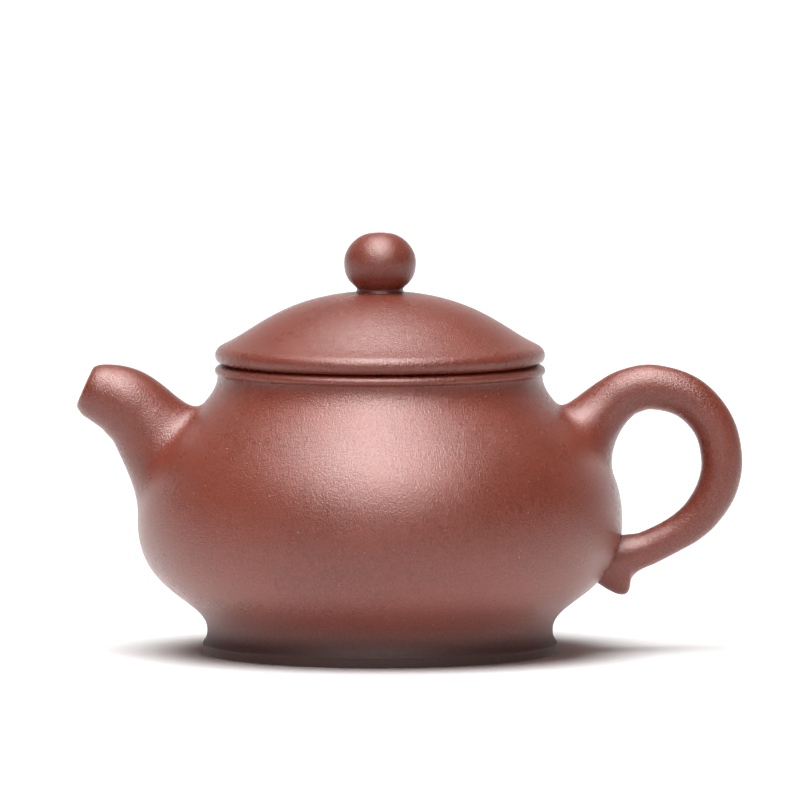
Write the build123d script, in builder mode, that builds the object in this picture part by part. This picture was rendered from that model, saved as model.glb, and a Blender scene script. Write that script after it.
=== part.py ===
"""A small unglazed stoneware teapot, luted together from separately formed clay pieces, in millimetres.

The origin is the centre of the foot's resting face, +Z is up, the spout points along -X and the handle
along +X. The pot's pieces are fired into one body. The lid's pieces are another, which lifts straight off.
"""

import os
from math import cos, radians, sin

from build123d import *

# ---------------------------------------------------------------- driving sizes
# The foot
FOOT_RADIUS = 36.15
FOOT_BAND_HEIGHT = 2.0
FOOT_EDGE_ROUND = 0.5
FOOT_RING_WIDTH = 4.4
FOOT_RECESS = 3.4
WAIST_STEP = 0.95
WAIST_HEIGHT = 4.7
# The way the step to the waist leaves the top of the band, inwards and up
WAIST_STEP_WAY = (-1, 0.6)

# The belly and the neck, each the end of a stretch whose outline leaves and arrives upright
BELLY_RADIUS = 49.4
BELLY_HEIGHT = 27.0
NECK_RADIUS = 33.05
NECK_HEIGHT = 56.6

# How far the outline runs on upright at each end of a stretch, as a share of the stretch's height
WAIST_PULL = 0.30
BELLY_PULL_DOWN = 0.68
BELLY_PULL_UP = 0.60
NECK_PULL = 0.26

# The mouth
RIM_BEAD_PROUD = 0.55
RIM_BEAD_HEIGHT = 2.4
RIM_EDGE_ROUND = 0.8
NECK_WALL = 2.05
MOUTH_DEPTH = 5.4

# Where the inner wall is measured in from the outline, as shares of the stretch below and above the belly
INNER_LOW_SHARES = (0.15, 0.45, 0.7)
INNER_HIGH_SHARES = (0.3, 0.5, 0.7)

# Clay thicknesses, and the heights at which the ring-shaped pieces meet
WALL = 2.6
BASE_THICKNESS = 2.8
BASE_EDGE_SEAT = 1.4
SHOULDER_DROP = 5.6
NECK_RING_HEIGHT = 4.6

# The lid, whose dome runs level at the top and down a slope to a round nose
LID_NOSE_HEIGHT = 1.8
LID_NOSE_WIDTH = 2.65
LID_NOSE_WAY = (1, 0.4)
LID_SLOPE_HEIGHT = 4.4
LID_HEIGHT = 14.8
LID_SLOPE_ANGLE = 27
# How far the dome's outline runs level and down the slope, as shares of the lid's radius
LID_DOME_PULL = 0.54
LID_SLOPE_PULL = 0.21
LID_WALL = 2.6
LID_DISC_THICKNESS = 1.8
LID_EDGE_ROUND = 0.9

# The flange under the lid that keeps it centred in the mouth
FLANGE_CLEARANCE = 0.3
FLANGE_THICKNESS = 2.0
FLANGE_DEPTH = 7.5
FLANGE_EDGE_ROUND = 0.6

# The knob
KNOB_RADIUS = 7.34
KNOB_NECK_RADIUS = 4.85
KNOB_FOOT_RADIUS = 5.7
KNOB_NECK_HEIGHT = 1.1
KNOB_BELLY_HEIGHT = 6.1
KNOB_HEIGHT = 11.9
KNOB_TOP_FLAT = 1.5
KNOB_FOOT_WAY = (-1, 1)
# How far the knob's outline runs on upright above its widest place, and level from its flat top
KNOB_SIDE_PULL = 3.4
KNOB_TOP_PULL = 3.2
VENT_RADIUS = 1.1

# The spout, whose tip stands out from the belly and just below the rim
SPOUT_REACH = 10.7
SPOUT_TIP_DROP = 4.55
SPOUT_TIP_ANGLE = 24
SPOUT_TIP_PULL = 8.5
SPOUT_TIP_RADIUS = 4.1
SPOUT_TIP_BORE = 2.6
SPOUT_TIP_ROUND = 0.5
SPOUT_ROOT_RADIUS = 12.4
SPOUT_ROOT_RISE = 10.2
SPOUT_ROOT_SINK = 7.5
SPOUT_ROOT_ANGLE = 50
SPOUT_ROOT_PULL = 7.0
SPOUT_WALL = 2.5
# The share of its widening that comes as a swell behind the tip, how sudden that is, and how late the
# rest of the widening comes
SPOUT_SWELL_SHARE = 0.33
SPOUT_SWELL_POWER = 9
SPOUT_FLARE_POWER = 1.7

# The hole through the belly behind the spout
WALL_HOLE_RADIUS = 6.8

# The strainer, a pierced half ball luted inside the pot round that hole
STRAINER_MARGIN = 0.8
STRAINER_WALL = 1.6
STRAINER_HOLE_RADIUS = 0.95
STRAINER_TILT = 12
# Its rows of holes, as the angle off its axis and the number of holes
STRAINER_ROWS = ((0, 1), (24, 6), (46, 11))

# The handle, a tapering roll that leaves the shoulder and comes back to the belly
HANDLE_REACH = 20.5
HANDLE_ROOT_DROP = 13.2
HANDLE_ROOT_SINK = 1.0
HANDLE_ROOT_ANGLE = 40
HANDLE_CROWN_DROP = 4.8
HANDLE_CROWN_REACH = 6.1
HANDLE_BACK_RISE = 12.3
HANDLE_LOW_REACH = 9.85
HANDLE_LOW_DROP = 3.3
HANDLE_END_DROP = 8.0
HANDLE_END_SINK = 1.5
HANDLE_END_ANGLE = 14
# Its radius at fractions of its length: the thick root, the roll, and the end
HANDLE_ROOT_STATIONS = ((0, 7.6), (0.09, 5.8), (0.19, 4.8))
HANDLE_ROLL_STATIONS = ((0.3, 4.55), (0.5, 4.25), (0.7, 3.7), (0.87, 3.4), (1, 4.6))

# The tail, where the end of the roll is pressed down the belly
TAIL_ROOT_RADIUS = 3.4
TAIL_TIP_RADIUS = 2.1
TAIL_TIP_ROUND = 1.5
TAIL_DROP = 5.9
TAIL_TIP_OUT = 1.6

# How far a cutting solid runs past what it cuts
OVERRUN = 5.0

# How many times a height is halved to find the outline's radius there
HALVINGS = 40

# The straight up of an outline
UPRIGHT = (0, 1)

# ---------------------------------------------------------------- sizes that follow
WAIST_RADIUS = FOOT_RADIUS - WAIST_STEP
LOWER_STRETCH = BELLY_HEIGHT - WAIST_HEIGHT
UPPER_STRETCH = NECK_HEIGHT - BELLY_HEIGHT
BASE_TOP = FOOT_RECESS + BASE_THICKNESS
BASE_RADIUS = FOOT_RADIUS - FOOT_RING_WIDTH + BASE_EDGE_SEAT
NECK_BOTTOM = NECK_HEIGHT - NECK_RING_HEIGHT
SHOULDER_BOTTOM = NECK_BOTTOM - SHOULDER_DROP

RIM_HEIGHT = NECK_HEIGHT + RIM_BEAD_HEIGHT
RIM_BEAD_RADIUS = NECK_RADIUS + RIM_BEAD_PROUD
MOUTH_RADIUS = NECK_RADIUS - NECK_WALL
MOUTH_BOTTOM = RIM_HEIGHT - MOUTH_DEPTH

LID_RADIUS = RIM_BEAD_RADIUS
LID_TOP = RIM_HEIGHT + LID_HEIGHT
DISC_TOP = RIM_HEIGHT + LID_DISC_THICKNESS
FLANGE_RADIUS = MOUTH_RADIUS - FLANGE_CLEARANCE
FLANGE_BORE = FLANGE_RADIUS - FLANGE_THICKNESS

os.makedirs("parts", exist_ok=True)


def save(piece, name):
    """Label a finished piece and write it as parts/NAME.step."""
    piece.part.label = name
    export_step(piece.part, f"parts/{name}.step")
    print(f"{name}: {piece.part.volume / 1000:.2f} cm3, {len(piece.part.solids())} solid")


def heading(degrees):
    """A unit vector in the XZ plane, turned up from +X."""
    return Vector(cos(radians(degrees)), 0, sin(radians(degrees)))


def outer_radius(height):
    """The pot's outer radius at a height between its waist and its neck."""
    edge = waist_to_belly.edge() if height < BELLY_HEIGHT else belly_to_neck.edge()
    low, high = 0.0, 1.0
    for _ in range(HALVINGS):
        middle = (low + high) / 2
        if (edge @ middle).Y < height:
            low = middle
        else:
            high = middle
    return (edge @ low).X


def inward(edge, fraction, depth):
    """The point that lies depth inside an outline edge, square to it."""
    along = edge % fraction
    return (edge @ fraction) + Vector(-along.Y, along.X) * depth


# ---------------------------------------------------------------- the pot's outline
# Outlines are drawn with X as the radius and Y as the height, then stood up on the XZ plane.
with BuildLine() as waist_to_belly:
    Bezier(
        (WAIST_RADIUS, WAIST_HEIGHT),
        (WAIST_RADIUS, WAIST_HEIGHT + LOWER_STRETCH * WAIST_PULL),
        (BELLY_RADIUS, BELLY_HEIGHT - LOWER_STRETCH * BELLY_PULL_DOWN),
        (BELLY_RADIUS, BELLY_HEIGHT),
    )

with BuildLine() as belly_to_neck:
    Bezier(
        (BELLY_RADIUS, BELLY_HEIGHT),
        (BELLY_RADIUS, BELLY_HEIGHT + UPPER_STRETCH * BELLY_PULL_UP),
        (NECK_RADIUS, NECK_HEIGHT - UPPER_STRETCH * NECK_PULL),
        (NECK_RADIUS, NECK_HEIGHT),
    )

# The whole pot as if it were solid, from its foot to its rim
with BuildPart() as pot_blank:
    with BuildSketch(Plane.XZ):
        with BuildLine():
            foot_face = Line((0, 0), (FOOT_RADIUS - FOOT_EDGE_ROUND, 0))
            foot_edge = RadiusArc(foot_face @ 1, (FOOT_RADIUS, FOOT_EDGE_ROUND), -FOOT_EDGE_ROUND)
            foot_band = Line(foot_edge @ 1, (FOOT_RADIUS, FOOT_BAND_HEIGHT))
            Spline(foot_band @ 1, (WAIST_RADIUS, WAIST_HEIGHT), tangents=(WAIST_STEP_WAY, UPRIGHT))
            add(waist_to_belly.edge())
            add(belly_to_neck.edge())
            bead = Spline(
                (NECK_RADIUS, NECK_HEIGHT),
                (RIM_BEAD_RADIUS, NECK_HEIGHT + RIM_BEAD_HEIGHT / 2),
                (RIM_BEAD_RADIUS - RIM_EDGE_ROUND, RIM_HEIGHT),
                tangents=(UPRIGHT, (-1, 0)),
            )
            Polyline(bead @ 1, (0, RIM_HEIGHT), (0, 0))
        make_face()
    revolve()

# The room for tea, with the mouth above it
with BuildPart() as tea_space:
    with BuildSketch(Plane.XZ):
        with BuildLine():
            lower_wall = waist_to_belly.edge()
            upper_wall = belly_to_neck.edge()
            floor_edge = (outer_radius(BASE_TOP) - WALL, BASE_TOP)
            inner_low = Spline(
                floor_edge,
                *[inward(lower_wall, share, WALL) for share in INNER_LOW_SHARES],
                (BELLY_RADIUS - WALL, BELLY_HEIGHT),
                tangents=(UPRIGHT, UPRIGHT),
            )
            inner_high = Spline(
                inner_low @ 1,
                *[inward(upper_wall, share, WALL) for share in INNER_HIGH_SHARES],
                (MOUTH_RADIUS, MOUTH_BOTTOM),
                tangents=(UPRIGHT, UPRIGHT),
            )
            Polyline(
                inner_high @ 1,
                (MOUTH_RADIUS, RIM_HEIGHT + OVERRUN),
                (0, RIM_HEIGHT + OVERRUN),
                (0, BASE_TOP),
                floor_edge,
            )
        make_face()
    revolve()

# ---------------------------------------------------------------- the spout, whole
SPOUT_TIP = Vector(-(BELLY_RADIUS + SPOUT_REACH), 0, RIM_HEIGHT - SPOUT_TIP_DROP)
SPOUT_ROOT_HEIGHT = BELLY_HEIGHT + SPOUT_ROOT_RISE
SPOUT_ROOT = Vector(-(outer_radius(SPOUT_ROOT_HEIGHT) - SPOUT_ROOT_SINK), 0, SPOUT_ROOT_HEIGHT)

with BuildLine() as spout_line:
    Bezier(
        SPOUT_TIP,
        SPOUT_TIP + heading(-SPOUT_TIP_ANGLE) * SPOUT_TIP_PULL,
        SPOUT_ROOT - heading(-SPOUT_ROOT_ANGLE) * SPOUT_ROOT_PULL,
        SPOUT_ROOT,
    )


def spout_radius(fraction):
    """The spout's outer radius along its line: a quick swell behind the tip, then a slow flare."""
    swell = SPOUT_SWELL_SHARE * (1 - (1 - fraction) ** SPOUT_SWELL_POWER)
    flare = (1 - SPOUT_SWELL_SHARE) * fraction ** SPOUT_FLARE_POWER
    return SPOUT_TIP_RADIUS + (SPOUT_ROOT_RADIUS - SPOUT_TIP_RADIUS) * (swell + flare)


def across(line, fraction, shift=0.0):
    """A plane square to a line at a fraction of its length, which can be shifted along it."""
    edge = line.edge()
    along = edge % fraction
    return Plane(origin=(edge @ fraction) + along * shift, x_dir=(0, 1, 0), z_dir=along)


SPOUT_STATIONS = (0, 0.1, 0.3, 0.55, 0.8, 1)

with BuildPart() as spout_blank:
    for station in SPOUT_STATIONS:
        with BuildSketch(across(spout_line, station)):
            Circle(spout_radius(station))
    loft()
    fillet(spout_blank.faces().sort_by(Axis.X)[0].edges(), SPOUT_TIP_ROUND)

# The hole through the belly wall, along which the strainer looks into the pot
WALL_HOLE = Plane(origin=SPOUT_ROOT, x_dir=(0, 1, 0), z_dir=heading(-STRAINER_TILT))

with BuildPart() as wall_hole:
    with BuildSketch(WALL_HOLE.offset(-SPOUT_ROOT_SINK - OVERRUN)):
        Circle(WALL_HOLE_RADIUS)
    extrude(amount=SPOUT_ROOT_SINK + 2 * OVERRUN)

with BuildPart() as spout_bore:
    for shift in (-OVERRUN, 0):
        with BuildSketch(across(spout_line, 0, shift)):
            Circle(SPOUT_TIP_BORE)
    for station in SPOUT_STATIONS[2:]:
        with BuildSketch(across(spout_line, station)):
            Circle(spout_radius(station) - SPOUT_WALL)
    with BuildSketch(across(spout_line, 1, OVERRUN)):
        Circle(spout_radius(1) - SPOUT_WALL)
    loft()

# ---------------------------------------------------------------- the handle, whole
CROWN = Vector(BELLY_RADIUS + HANDLE_CROWN_REACH, 0, RIM_HEIGHT - HANDLE_CROWN_DROP)
BACK = Vector(BELLY_RADIUS + HANDLE_REACH, 0, BELLY_HEIGHT + HANDLE_BACK_RISE)
LOW = Vector(BELLY_RADIUS + HANDLE_LOW_REACH, 0, BELLY_HEIGHT - HANDLE_LOW_DROP)
ROOT_HEIGHT = RIM_HEIGHT - HANDLE_ROOT_DROP
ROOT = Vector(outer_radius(ROOT_HEIGHT) - HANDLE_ROOT_SINK, 0, ROOT_HEIGHT)
END_HEIGHT = BELLY_HEIGHT - HANDLE_END_DROP
END = Vector(outer_radius(END_HEIGHT) - HANDLE_END_SINK, 0, END_HEIGHT)

with BuildLine() as handle_line:
    Spline(ROOT, CROWN, BACK, LOW, END, tangents=(heading(HANDLE_ROOT_ANGLE), heading(180 + HANDLE_END_ANGLE)))

with BuildPart() as handle_blank:
    for station, radius in HANDLE_ROOT_STATIONS + HANDLE_ROLL_STATIONS:
        with BuildSketch(across(handle_line, station)):
            Circle(radius)
    loft()
    with BuildSketch(Plane(origin=END, z_dir=(0, 0, -1))):
        Circle(TAIL_ROOT_RADIUS)
    with BuildSketch(Plane(origin=END + Vector(TAIL_TIP_OUT, 0, -TAIL_DROP), z_dir=(0, 0, -1))):
        Circle(TAIL_TIP_RADIUS)
    loft()
    fillet(handle_blank.faces().sort_by(Axis.Z)[0].edges(), TAIL_TIP_ROUND)

# ---------------------------------------------------------------- pieces of the pot
# The base disc closes the bottom of the belly and sits in a rebate of the foot ring
with BuildPart() as base_disc:
    with BuildSketch(Plane.XY.offset(FOOT_RECESS)):
        Circle(BASE_RADIUS)
    extrude(amount=BASE_THICKNESS)
save(base_disc, "base_disc")

# The foot ring, below the waist
with BuildPart() as foot_ring:
    add(pot_blank.part)
    split(bisect_by=Plane.XY.offset(WAIST_HEIGHT), keep=Keep.BOTTOM)
    with BuildSketch():
        Circle(FOOT_RADIUS - FOOT_RING_WIDTH)
    extrude(amount=FOOT_RECESS, mode=Mode.SUBTRACT)
    add(base_disc.part, mode=Mode.SUBTRACT)
save(foot_ring, "foot_ring")

# The belly wall, a cylinder of clay beaten out into a round, with the hole for the spout
with BuildPart() as belly_wall:
    add(pot_blank.part)
    add(tea_space.part, mode=Mode.SUBTRACT)
    split(bisect_by=Plane.XY.offset(WAIST_HEIGHT), keep=Keep.TOP)
    split(bisect_by=Plane.XY.offset(SHOULDER_BOTTOM), keep=Keep.BOTTOM)
    add(base_disc.part, mode=Mode.SUBTRACT)
    add(wall_hole.part, mode=Mode.SUBTRACT)
save(belly_wall, "belly_wall")

# The shoulder disc closes the top of the belly, and the mouth is cut through it
with BuildPart() as shoulder_disc:
    add(pot_blank.part)
    add(tea_space.part, mode=Mode.SUBTRACT)
    split(bisect_by=Plane.XY.offset(SHOULDER_BOTTOM), keep=Keep.TOP)
    split(bisect_by=Plane.XY.offset(NECK_BOTTOM), keep=Keep.BOTTOM)
save(shoulder_disc, "shoulder_disc")

# The neck ring stands on the shoulder disc
with BuildPart() as neck_ring:
    add(pot_blank.part)
    add(tea_space.part, mode=Mode.SUBTRACT)
    split(bisect_by=Plane.XY.offset(NECK_BOTTOM), keep=Keep.TOP)
    split(bisect_by=Plane.XY.offset(NECK_HEIGHT), keep=Keep.BOTTOM)
save(neck_ring, "neck_ring")

# The rim bead runs round the mouth and carries the lid
with BuildPart() as rim_bead:
    add(pot_blank.part)
    add(tea_space.part, mode=Mode.SUBTRACT)
    split(bisect_by=Plane.XY.offset(NECK_HEIGHT), keep=Keep.TOP)
save(rim_bead, "rim_bead")

# The spout, luted over its hole in the belly
with BuildPart() as spout:
    add(spout_blank.part)
    add(pot_blank.part, mode=Mode.SUBTRACT)
    add(spout_bore.part, mode=Mode.SUBTRACT)
save(spout, "spout")

# The strainer stands on the inside of the wall, round the spout's hole
STRAINER_PLANE = WALL_HOLE.offset(WALL - SPOUT_ROOT_SINK)
STRAINER_RADIUS = WALL_HOLE_RADIUS + STRAINER_MARGIN + STRAINER_WALL

with BuildPart() as strainer:
    with Locations(STRAINER_PLANE.origin):
        Sphere(STRAINER_RADIUS)
        Sphere(STRAINER_RADIUS - STRAINER_WALL, mode=Mode.SUBTRACT)
    add(tea_space.part, mode=Mode.INTERSECT)
    for tilt, count in STRAINER_ROWS:
        for hole in range(count):
            aim = Rotation(0, 0, 360 * hole / count) * Rotation(0, tilt, 0)
            with Locations(STRAINER_PLANE.location * aim):
                Cylinder(
                    STRAINER_HOLE_RADIUS,
                    STRAINER_RADIUS + OVERRUN,
                    align=(Align.CENTER, Align.CENTER, Align.MIN),
                    mode=Mode.SUBTRACT,
                )
save(strainer, "strainer")

# The handle, pulled from one roll, with its ends luted to the shoulder and the belly
with BuildPart() as handle:
    add(handle_blank.part)
    add(pot_blank.part, mode=Mode.SUBTRACT)
save(handle, "handle")

# ---------------------------------------------------------------- pieces of the lid
# The whole lid as if it were solid, without its knob and flange
with BuildPart() as lid_blank:
    with BuildSketch(Plane.XZ):
        with BuildLine():
            slope_end = Vector(LID_RADIUS - LID_NOSE_WIDTH, RIM_HEIGHT + LID_SLOPE_HEIGHT)
            slope_way = Vector(-cos(radians(LID_SLOPE_ANGLE)), sin(radians(LID_SLOPE_ANGLE)))
            under = Line((0, RIM_HEIGHT), (LID_RADIUS - LID_EDGE_ROUND, RIM_HEIGHT))
            nose = Spline(
                under @ 1,
                (LID_RADIUS, RIM_HEIGHT + LID_NOSE_HEIGHT),
                slope_end,
                tangents=(LID_NOSE_WAY, slope_way),
            )
            dome = Bezier(
                slope_end,
                slope_end + slope_way * LID_RADIUS * LID_SLOPE_PULL,
                (LID_RADIUS * LID_DOME_PULL, LID_TOP),
                (0, LID_TOP),
            )
            Line(dome @ 1, (0, RIM_HEIGHT))
        make_face()
    revolve()

# The hollow between the dome and the disc below it, open downwards through the flange
with BuildPart() as lid_hollow:
    with BuildSketch(Plane.XZ):
        with BuildLine():
            ceiling = Bezier(
                (FLANGE_BORE, DISC_TOP),
                (FLANGE_BORE * (1 - LID_SLOPE_PULL), DISC_TOP + FLANGE_BORE * LID_SLOPE_PULL / 2),
                (FLANGE_BORE * LID_DOME_PULL, LID_TOP - LID_WALL),
                (0, LID_TOP - LID_WALL),
            )
            Polyline(ceiling @ 1, (0, RIM_HEIGHT - OVERRUN), (FLANGE_BORE, RIM_HEIGHT - OVERRUN), ceiling @ 0)
        make_face()
    revolve()

with BuildPart() as vent:
    with Locations((0, 0, LID_TOP - LID_WALL)):
        Cylinder(VENT_RADIUS, (LID_WALL + KNOB_HEIGHT) * 2)

# The lid disc lies on the rim, and everything else of the lid is luted to it
with BuildPart() as lid_disc:
    add(lid_blank.part)
    split(bisect_by=Plane.XY.offset(DISC_TOP), keep=Keep.BOTTOM)
    add(lid_hollow.part, mode=Mode.SUBTRACT)
save(lid_disc, "lid_disc")

with BuildPart() as lid_dome:
    add(lid_blank.part)
    split(bisect_by=Plane.XY.offset(DISC_TOP), keep=Keep.TOP)
    add(lid_hollow.part, mode=Mode.SUBTRACT)
    add(vent.part, mode=Mode.SUBTRACT)
save(lid_dome, "lid_dome")

# The flange hangs in the mouth and keeps the lid from sliding off
with BuildPart() as lid_flange:
    with BuildSketch(Plane.XY.offset(RIM_HEIGHT - FLANGE_DEPTH)):
        Circle(FLANGE_RADIUS)
        Circle(FLANGE_BORE, mode=Mode.SUBTRACT)
    extrude(amount=FLANGE_DEPTH)
    fillet(lid_flange.edges().group_by(Axis.Z)[0], FLANGE_EDGE_ROUND)
save(lid_flange, "lid_flange")

# The knob, an oblate ball on a short neck that spreads onto the dome
with BuildPart() as knob:
    with BuildSketch(Plane.XZ):
        with BuildLine():
            knob_foot = Line((0, LID_TOP - LID_WALL / 2), (KNOB_FOOT_RADIUS, LID_TOP - LID_WALL / 2))
            neck = Spline(
                knob_foot @ 1,
                (KNOB_NECK_RADIUS, LID_TOP + KNOB_NECK_HEIGHT),
                (KNOB_RADIUS, LID_TOP + KNOB_BELLY_HEIGHT),
                tangents=(KNOB_FOOT_WAY, UPRIGHT),
            )
            crown = Bezier(
                neck @ 1,
                (KNOB_RADIUS, LID_TOP + KNOB_BELLY_HEIGHT + KNOB_SIDE_PULL),
                (KNOB_TOP_FLAT + KNOB_TOP_PULL, LID_TOP + KNOB_HEIGHT),
                (KNOB_TOP_FLAT, LID_TOP + KNOB_HEIGHT),
            )
            Polyline(crown @ 1, (0, LID_TOP + KNOB_HEIGHT), knob_foot @ 0)
        make_face()
    revolve()
    add(lid_blank.part, mode=Mode.SUBTRACT)
    add(vent.part, mode=Mode.SUBTRACT)
save(knob, "knob")
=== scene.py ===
# %% [markdown]
# # A small unglazed clay teapot
#
# The pot is potter's work in fired, unglazed clay: a squat round body on a low foot, a short spout, a ring
# handle and a domed lid with a ball knob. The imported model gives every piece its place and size. This script
# gives them their skin: smooth luted roots, rounded edges, and clay that has a grain.

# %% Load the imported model
import bpy
import math
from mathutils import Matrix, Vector


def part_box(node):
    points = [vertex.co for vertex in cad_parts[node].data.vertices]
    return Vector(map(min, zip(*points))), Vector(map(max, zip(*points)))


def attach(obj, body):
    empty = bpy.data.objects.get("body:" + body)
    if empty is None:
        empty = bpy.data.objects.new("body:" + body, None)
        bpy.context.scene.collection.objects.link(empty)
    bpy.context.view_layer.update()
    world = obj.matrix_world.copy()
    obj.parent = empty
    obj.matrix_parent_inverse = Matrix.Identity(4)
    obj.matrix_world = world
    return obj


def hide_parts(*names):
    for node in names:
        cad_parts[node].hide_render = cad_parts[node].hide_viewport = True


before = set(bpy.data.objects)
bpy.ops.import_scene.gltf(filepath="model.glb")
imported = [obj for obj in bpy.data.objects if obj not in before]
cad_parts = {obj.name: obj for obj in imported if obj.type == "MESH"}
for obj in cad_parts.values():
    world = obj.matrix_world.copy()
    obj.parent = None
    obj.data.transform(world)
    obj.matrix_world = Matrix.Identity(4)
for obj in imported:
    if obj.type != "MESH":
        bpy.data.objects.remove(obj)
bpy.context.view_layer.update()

MM = 0.001

# %% [markdown]
# ## Sizes
#
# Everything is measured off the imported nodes, so the skin follows the model if a size there changes.
# The outline between the waist and the belly, and from the belly to the neck, is a curve that starts
# and ends upright. Four shares say how far it runs on upright at each end.

# %% Sizes read from the nodes
foot_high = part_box("foot_ring")[1]
belly_low, belly_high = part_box("belly_wall")
shoulder_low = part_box("shoulder_disc")[0]
neck_low, neck_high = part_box("neck_ring")
rim_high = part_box("rim_bead")[1]
base_low, base_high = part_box("base_disc")
dome_low, dome_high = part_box("lid_dome")
flange_low, flange_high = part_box("lid_flange")
knob_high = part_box("knob")[1]
strainer_low, strainer_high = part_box("strainer")

FOOT_RADIUS = foot_high.x
WAIST_HEIGHT = belly_low.z
WAIST_RADIUS = FOOT_RADIUS - 0.95 * MM
BELLY_RADIUS = belly_high.x
BELLY_HEIGHT = WAIST_HEIGHT + 22.3 * MM
SHOULDER_BOTTOM = shoulder_low.z
NECK_BOTTOM = neck_low.z
NECK_HEIGHT = neck_high.z
RIM_HEIGHT = rim_high.z
RIM_RADIUS = rim_high.x
NECK_RADIUS = RIM_RADIUS - 0.55 * MM
MOUTH_RADIUS = NECK_RADIUS - 2.05 * MM
WALL = 2.6 * MM
print(f"belly {BELLY_RADIUS / MM:.2f} mm, neck {NECK_RADIUS / MM:.2f} mm at {NECK_HEIGHT / MM:.2f} mm")


# %% [markdown]
# ## Outlines
#
# A turned clay form is an outline spun round an axis. An outline here is a list of (radius, height) points,
# worked out from a few smooth curves.

# %% Curves for outlines
def on_curve(a, b, c, d, t):
    """The point at t, from 0 to 1, of the cubic curve with these four control points."""
    u = 1 - t
    return a * u**3 + b * 3 * u**2 * t + c * 3 * u * t**2 + d * t**3


def bezier(points, steps):
    """Points along the cubic curve of four control points, which have two or three coordinates."""
    corners = [Vector(p) for p in points]
    return [on_curve(*corners, i / steps) for i in range(steps + 1)]


LOWER = BELLY_HEIGHT - WAIST_HEIGHT
UPPER = NECK_HEIGHT - BELLY_HEIGHT
UPRIGHT_AT_WAIST = 0.30
UPRIGHT_BELOW_BELLY = 0.68
UPRIGHT_ABOVE_BELLY = 0.60
UPRIGHT_AT_NECK = 0.26
LOWER_CURVE = (
    (WAIST_RADIUS, WAIST_HEIGHT),
    (WAIST_RADIUS, WAIST_HEIGHT + UPRIGHT_AT_WAIST * LOWER),
    (BELLY_RADIUS, BELLY_HEIGHT - UPRIGHT_BELOW_BELLY * LOWER),
    (BELLY_RADIUS, BELLY_HEIGHT),
)
UPPER_CURVE = (
    (BELLY_RADIUS, BELLY_HEIGHT),
    (BELLY_RADIUS, BELLY_HEIGHT + UPRIGHT_ABOVE_BELLY * UPPER),
    (NECK_RADIUS, NECK_HEIGHT - UPRIGHT_AT_NECK * UPPER),
    (NECK_RADIUS, NECK_HEIGHT),
)
FINE_OUTLINE = bezier(LOWER_CURVE, 400) + bezier(UPPER_CURVE, 400)[1:]


def outline_at(height):
    """The pot's outer radius at a height, and the outline's upward direction there."""
    for low, high in zip(FINE_OUTLINE, FINE_OUTLINE[1:]):
        if high.y >= height:
            share = (height - low.y) / (high.y - low.y)
            return low.lerp(high, share).x, (high - low).normalized()
    return NECK_RADIUS, Vector((0, 1))


print("outline radius at the shoulder joint, mm:", round(outline_at(SHOULDER_BOTTOM)[0] / MM, 2))


# %% Corners and walls
def rounded(corners, steps=6):
    """An outline through (radius, height, ease) corners, where ease is the length rounded off each side."""
    out = []
    for i, (radius, height, ease) in enumerate(corners):
        corner = Vector((radius, height))
        if ease == 0:
            out.append(corner)
            continue
        before = Vector(corners[i - 1][:2])
        after = Vector(corners[(i + 1) % len(corners)][:2])
        start = corner + (before - corner).normalized() * ease
        end = corner + (after - corner).normalized() * ease
        for k in range(steps + 1):
            t = k / steps
            out.append(start.lerp(corner, t).lerp(corner.lerp(end, t), t))
    return out


SEAM_STRIP = 0.04 * MM


def heights_between(low, high, steps):
    """Heights from low to high, with a hair-thin strip at each end so that luted pieces shade as one."""
    inner = [low + SEAM_STRIP + (high - low - 2 * SEAM_STRIP) * i / steps for i in range(steps + 1)]
    return [low] + inner + [high]


def outer_wall(low, high, steps):
    """The pot's outer outline between two heights, from the bottom up."""
    return [Vector((outline_at(h)[0], h)) for h in heights_between(low, high, steps)]


INNER_OUTLINE = []
for low, high in zip(FINE_OUTLINE, FINE_OUTLINE[1:]):
    along = (high - low).normalized()
    INNER_OUTLINE.append(low + Vector((-along.y, along.x)) * WALL)


def inner_radius(height):
    """The tea space's radius at a height."""
    for low, high in zip(INNER_OUTLINE, INNER_OUTLINE[1:]):
        if low.y <= height <= high.y:
            share = (height - low.y) / max(high.y - low.y, 1e-9)
            return max(low.lerp(high, share).x, MOUTH_RADIUS)
    return MOUTH_RADIUS


def inner_wall(high, low, steps):
    """The pot's inner outline between two heights, from the top down."""
    return [Vector((inner_radius(h), h)) for h in reversed(heights_between(low, high, steps))]


# %% [markdown]
# ## The lathe
#
# Each round piece starts as a plane melted to one point. The point is extruded along the outline, and the
# finished line is spun round the Z axis. The outline is closed, so the piece is a solid ring with no open
# edge. Where both ends lie on the axis, the spin itself closes it.

# %% Spin an outline into a piece
SEGMENTS = 180
SMOOTH_ANGLE = math.radians(35)


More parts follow.
